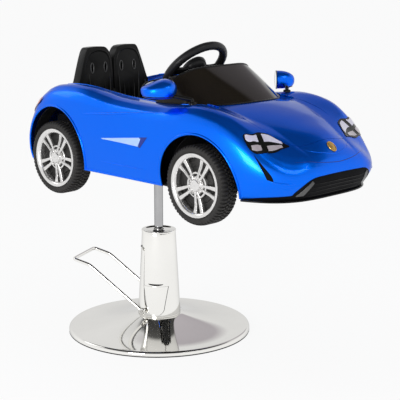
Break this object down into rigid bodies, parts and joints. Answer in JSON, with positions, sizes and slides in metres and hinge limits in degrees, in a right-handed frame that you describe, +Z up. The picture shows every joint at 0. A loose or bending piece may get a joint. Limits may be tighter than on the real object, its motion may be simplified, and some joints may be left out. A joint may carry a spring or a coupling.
{
  "type": "kids car barber chair",
  "caption": "Child's barber chair: a glossy ride-on sports car body with steering wheel, double seat and turning wheels on a chrome hydraulic pump and round base.",
  "frame": {"origin": "middle of the floor face of the round base, on the swivel axis", "axes": "+X to the car's nose, +Y to the car's left, +Z up"},
  "size_m": [1.2289, 0.6718, 1.0304],
  "materials": {
    "chrome": "mirror polished",
    "dark_steel": "satin",
    "bright_steel": "satin",
    "grey_casting": "painted",
    "black_rubber": "matte",
    "blue_shell": "glossy metallic blue",
    "black_moulding": "fine grain",
    "gloss_black": "glossy",
    "clear_lens": "clear",
    "red_lens": "glossy",
    "smoked_screen": "smoked gloss",
    "seat_black": "satin",
    "wheel_black": "satin grain",
    "mirror_glass": "mirror",
    "gold_badge": "plated",
    "satin_silver": "satin",
    "orange_button": "glossy",
    "tyre_black": "matte",
    "rim_silver": "silver paint"
  },
  "bodies": {
    "base": {"base_plate": "dark_steel", "base_ring": "black_rubber", "base_cover": "chrome", "pump_body": "grey_casting", "pump_gland": "bright_steel", "pump_bolts": "bright_steel", "shroud": "chrome", "shroud_cap": "chrome", "shroud_panel": "chrome"},
    "piston": {"piston_head": "bright_steel", "piston_seals": "black_rubber"},
    "pedal": {"pedal_shaft": "bright_steel", "pedal_frame": "chrome"},
    "plunger": {"pump_plunger": "bright_steel"},
    "car": {"ram_rod": "chrome", "seat_plate": "dark_steel", "plate_bolts": "bright_steel", "underframe": "dark_steel", "chassis_tub": "black_moulding", "side_panel_left": "blue_shell", "side_panel_right": "blue_shell", "hood": "blue_shell", "front_bumper": "blue_shell", "rear_body": "blue_shell", "splitter": "gloss_black", "air_dam": "gloss_black", "headlights": "gloss_black", "headlight_lenses": "clear_lens", "tail_light": "red_lens", "windscreen": "smoked_screen", "dashboard": "black_moulding", "double_seat": "seat_black", "seat_bolts": "bright_steel", "mirror_left": "blue_shell", "mirror_right": "blue_shell", "mirror_glasses": "mirror_glass", "badge": "gold_badge", "arch_liners": "black_moulding", "front_axle": "dark_steel", "rear_axle": "bright_steel"},
    "steering": {"steering_wheel": "wheel_black", "steering_column": "bright_steel"},
    "horn": {"horn_button": "satin_silver"},
    "spindle": {"steering_spindle": "bright_steel"},
    "linkage": {"tie_rod": "bright_steel"},
    "steer_left": {"knuckle_left": "grey_casting"},
    "steer_right": {"knuckle_right": "grey_casting"},
    "wheel_front_left": {"tyre_front_left": "tyre_black", "rim_front_left": "rim_silver"},
    "wheel_front_right": {"tyre_front_right": "tyre_black", "rim_front_right": "rim_silver"},
    "wheel_rear_left": {"tyre_rear_left": "tyre_black", "rim_rear_left": "rim_silver"},
    "wheel_rear_right": {"tyre_rear_right": "tyre_black", "rim_rear_right": "rim_silver"},
    "start": {"start_button": "orange_button"},
    "selector": {"gear_switch": "satin_silver"},
    "throttle": {"accelerator": "black_moulding"}
  },
  "joints": [
    {"name": "lift", "type": "slide", "parent": "base", "child": "piston", "axis": [0, 0, 1], "range_m": [-0.15, 0.02]},
    {"name": "swivel", "type": "hinge", "parent": "piston", "child": "car", "pos_m": [0, 0, 0.3], "axis": [0, 0, 1], "continuous": true},
    {"name": "pedal_press", "type": "hinge", "parent": "base", "child": "pedal", "pos_m": [-0.02741, -0.0122, 0.082], "axis": [0.4067, -0.9135, 0], "range_deg": [0, 30], "stiffness_Nm_per_rad": 4, "springref_deg": -34.38},
    {"name": "plunger_stroke", "type": "slide", "parent": "base", "child": "plunger", "axis": [0, 0, -1], "range_m": [0, 0.012]},
    {"name": "steering_turn", "type": "hinge", "parent": "car", "child": "steering", "pos_m": [0.18, 0, 0.938], "axis": [-0.7193, 0, 0.6947], "range_deg": [-40, 40]},
    {"name": "horn_press", "type": "slide", "parent": "steering", "child": "horn", "axis": [0.7193, 0, -0.6947], "range_m": [0, 0.003], "stiffness_N_per_m": 800, "springref_m": -0.001},
    {"name": "spindle_turn", "type": "hinge", "parent": "car", "child": "spindle", "pos_m": [0.2879, 0, 0.8338], "axis": [-0.5899, 0, 0.8075], "range_deg": [-40, 40]},
    {"name": "tie_slide", "type": "slide", "parent": "car", "child": "linkage", "axis": [0, 1, 0], "range_m": [-0.009, 0.009]},
    {"name": "steer_turn_left", "type": "hinge", "parent": "car", "child": "steer_left", "pos_m": [0.474, 0.205, 0.627], "axis": [0, 0, 1], "range_deg": [-10.2, 10.2]},
    {"name": "steer_turn_right", "type": "hinge", "parent": "car", "child": "steer_right", "pos_m": [0.474, -0.205, 0.627], "axis": [0, 0, 1], "range_deg": [-10.2, 10.2]},
    {"name": "roll_front_left", "type": "hinge", "parent": "steer_left", "child": "wheel_front_left", "pos_m": [0.474, 0.2625, 0.627], "axis": [0, 1, 0], "continuous": true},
    {"name": "roll_front_right", "type": "hinge", "parent": "steer_right", "child": "wheel_front_right", "pos_m": [0.474, -0.2625, 0.627], "axis": [0, 1, 0], "continuous": true},
    {"name": "roll_rear_left", "type": "hinge", "parent": "car", "child": "wheel_rear_left", "pos_m": [-0.2, 0.2625, 0.627], "axis": [0, 1, 0], "continuous": true},
    {"name": "roll_rear_right", "type": "hinge", "parent": "car", "child": "wheel_rear_right", "pos_m": [-0.2, -0.2625, 0.627], "axis": [0, 1, 0], "continuous": true},
    {"name": "start_press", "type": "slide", "parent": "car", "child": "start", "axis": [1, 0, 0], "range_m": [0, 0.003], "stiffness_N_per_m": 600, "springref_m": -0.001},
    {"name": "selector_rock", "type": "hinge", "parent": "car", "child": "selector", "pos_m": [0.2605, 0.074, 0.852], "axis": [0, 1, 0], "range_deg": [-8, 8]},
    {"name": "throttle_press", "type": "hinge", "parent": "car", "child": "throttle", "pos_m": [0.262, -0.08, 0.601], "axis": [0, 1, 0], "range_deg": [0, 10], "stiffness_Nm_per_rad": 1.2, "springref_deg": -14.32}
  ],
  "couplings": [
    {"joint": "plunger_stroke", "follows": "pedal_press", "m_per_rad": 0.022},
    {"joint": "spindle_turn", "follows": "steering_turn", "ratio": 1},
    {"joint": "tie_slide", "follows": "steering_turn", "m_per_rad": -0.0125},
    {"joint": "steer_turn_left", "follows": "steering_turn", "ratio": 0.25},
    {"joint": "steer_turn_right", "follows": "steering_turn", "ratio": 0.25}
  ]
}
